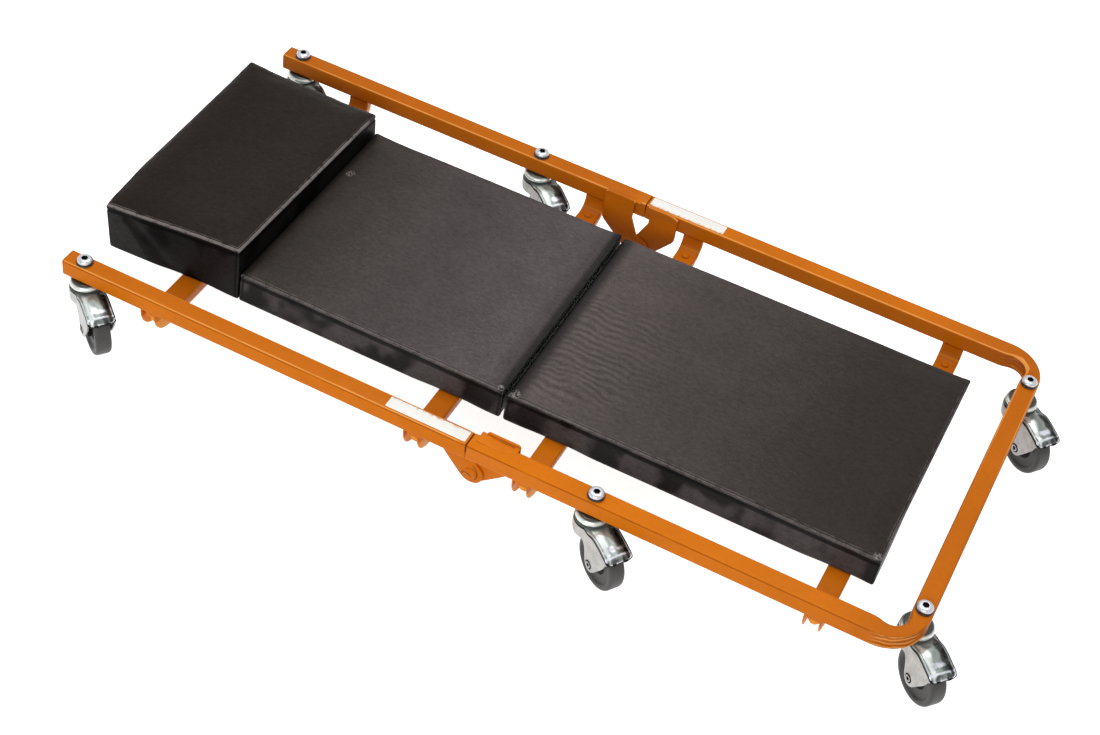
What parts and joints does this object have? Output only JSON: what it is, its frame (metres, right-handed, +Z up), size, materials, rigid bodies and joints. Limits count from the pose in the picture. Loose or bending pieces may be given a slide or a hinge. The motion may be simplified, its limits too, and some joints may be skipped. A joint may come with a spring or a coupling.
{
  "type": "mechanic creeper",
  "caption": "Low folding trolley to lie on while working under a vehicle: orange square-tube frame, black vinyl pads with a raised headrest, chrome swivel castors.",
  "frame": {"origin": "centre of the bounding box in plan, on the floor under the wheels", "axes": "+X runs from the headrest to the foot end, +Y to the left of the person lying on it, +Z up"},
  "size_m": [0.9791, 0.4834, 0.1205],
  "materials": {
    "orange_paint": "gloss",
    "black_vinyl": "fine grain",
    "chrome_plate": "bright",
    "zinc_steel": "satin",
    "wheel_plastic": "satin",
    "board_wood": "raw",
    "sticker": "satin"
  },
  "bodies": {
    "head_section": {"head_right_castor_bolt": "zinc_steel", "head_right_spring_washer": "zinc_steel", "head_right_swivel_cup": "chrome_plate", "head_left_castor_bolt": "zinc_steel", "head_left_spring_washer": "zinc_steel", "head_left_swivel_cup": "chrome_plate", "middle_left_castor_bolt": "zinc_steel", "middle_left_spring_washer": "zinc_steel", "middle_left_swivel_cup": "chrome_plate", "right_head_rail": "orange_paint", "left_head_rail": "orange_paint", "right_rail_cap": "orange_paint", "left_rail_cap": "orange_paint", "head_crossbar": "orange_paint", "head_fold_crossbar": "orange_paint", "head_pad": "black_vinyl", "middle_pad": "black_vinyl", "head_board": "board_wood", "right_head_hinge_plate": "orange_paint", "left_head_hinge_plate": "orange_paint", "right_pivot_pin": "orange_paint", "left_pivot_pin": "orange_paint", "right_rail_label": "sticker"},
    "foot_section": {"middle_right_castor_bolt": "zinc_steel", "middle_right_spring_washer": "zinc_steel", "middle_right_swivel_cup": "chrome_plate", "foot_right_castor_bolt": "zinc_steel", "foot_right_spring_washer": "zinc_steel", "foot_right_swivel_cup": "chrome_plate", "foot_left_castor_bolt": "zinc_steel", "foot_left_spring_washer": "zinc_steel", "foot_left_swivel_cup": "chrome_plate", "foot_frame_tube": "orange_paint", "foot_fold_crossbar": "orange_paint", "foot_crossbar": "orange_paint", "foot_pad": "black_vinyl", "foot_board": "board_wood", "right_foot_hinge_plate": "orange_paint", "left_foot_hinge_plate": "orange_paint", "left_rail_label": "sticker"},
    "head_right_swivel": {"head_right_castor_fork": "chrome_plate", "head_right_castor_axle": "zinc_steel"},
    "head_right_wheel": {"head_right_castor_wheel": "wheel_plastic"},
    "head_left_swivel": {"head_left_castor_fork": "chrome_plate", "head_left_castor_axle": "zinc_steel"},
    "head_left_wheel": {"head_left_castor_wheel": "wheel_plastic"},
    "middle_left_swivel": {"middle_left_castor_fork": "chrome_plate", "middle_left_castor_axle": "zinc_steel"},
    "middle_left_wheel": {"middle_left_castor_wheel": "wheel_plastic"},
    "middle_right_swivel": {"middle_right_castor_fork": "chrome_plate", "middle_right_castor_axle": "zinc_steel"},
    "middle_right_wheel": {"middle_right_castor_wheel": "wheel_plastic"},
    "foot_right_swivel": {"foot_right_castor_fork": "chrome_plate", "foot_right_castor_axle": "zinc_steel"},
    "foot_right_wheel": {"foot_right_castor_wheel": "wheel_plastic"},
    "foot_left_swivel": {"foot_left_castor_fork": "chrome_plate", "foot_left_castor_axle": "zinc_steel"},
    "foot_left_wheel": {"foot_left_castor_wheel": "wheel_plastic"}
  },
  "joints": [
    {"name": "fold", "type": "hinge", "parent": "head_section", "child": "foot_section", "pos_m": [-0.01809, 0.01232, 0.034], "axis": [0, 1, 0], "range_deg": [0, 180]},
    {"name": "head_right_swivel_turn", "type": "hinge", "parent": "head_section", "child": "head_right_swivel", "pos_m": [-0.46349, -0.19768, 0.065], "axis": [0, 0, 1], "continuous": true},
    {"name": "head_right_wheel_spin", "type": "hinge", "parent": "head_right_swivel", "child": "head_right_wheel", "pos_m": [-0.44143, -0.21492, 0.03], "axis": [0.6157, 0.788, 0], "continuous": true},
    {"name": "head_left_swivel_turn", "type": "hinge", "parent": "head_section", "child": "head_left_swivel", "pos_m": [-0.46349, 0.22232, 0.065], "axis": [0, 0, 1], "continuous": true},
    {"name": "head_left_wheel_spin", "type": "hinge", "parent": "head_left_swivel", "child": "head_left_wheel", "pos_m": [-0.44143, 0.20508, 0.03], "axis": [0.6157, 0.788, 0], "continuous": true},
    {"name": "middle_left_swivel_turn", "type": "hinge", "parent": "head_section", "child": "middle_left_swivel", "pos_m": [-0.1526, 0.22232, 0.065], "axis": [0, 0, 1], "continuous": true},
    {"name": "middle_left_wheel_spin", "type": "hinge", "parent": "middle_left_swivel", "child": "middle_left_wheel", "pos_m": [-0.13053, 0.20508, 0.03], "axis": [0.6157, 0.788, 0], "continuous": true},
    {"name": "middle_right_swivel_turn", "type": "hinge", "parent": "foot_section", "child": "middle_right_swivel", "pos_m": [0.1164, -0.19768, 0.065], "axis": [0, 0, 1], "continuous": true},
    {"name": "middle_right_wheel_spin", "type": "hinge", "parent": "middle_right_swivel", "child": "middle_right_wheel", "pos_m": [0.13962, -0.21334, 0.03], "axis": [0.5592, 0.829, 0], "continuous": true},
    {"name": "foot_right_swivel_turn", "type": "hinge", "parent": "foot_section", "child": "foot_right_swivel", "pos_m": [0.4349, -0.15808, 0.065], "axis": [0, 0, 1], "continuous": true},
    {"name": "foot_right_wheel_spin", "type": "hinge", "parent": "foot_right_swivel", "child": "foot_right_wheel", "pos_m": [0.45604, -0.17645, 0.03], "axis": [0.6561, 0.7547, 0], "continuous": true},
    {"name": "foot_left_swivel_turn", "type": "hinge", "parent": "foot_section", "child": "foot_left_swivel", "pos_m": [0.4349, 0.18272, 0.065], "axis": [0, 0, 1], "continuous": true},
    {"name": "foot_left_wheel_spin", "type": "hinge", "parent": "foot_left_swivel", "child": "foot_left_wheel", "pos_m": [0.45697, 0.16548, 0.03], "axis": [0.6157, 0.788, 0], "continuous": true}
  ]
}
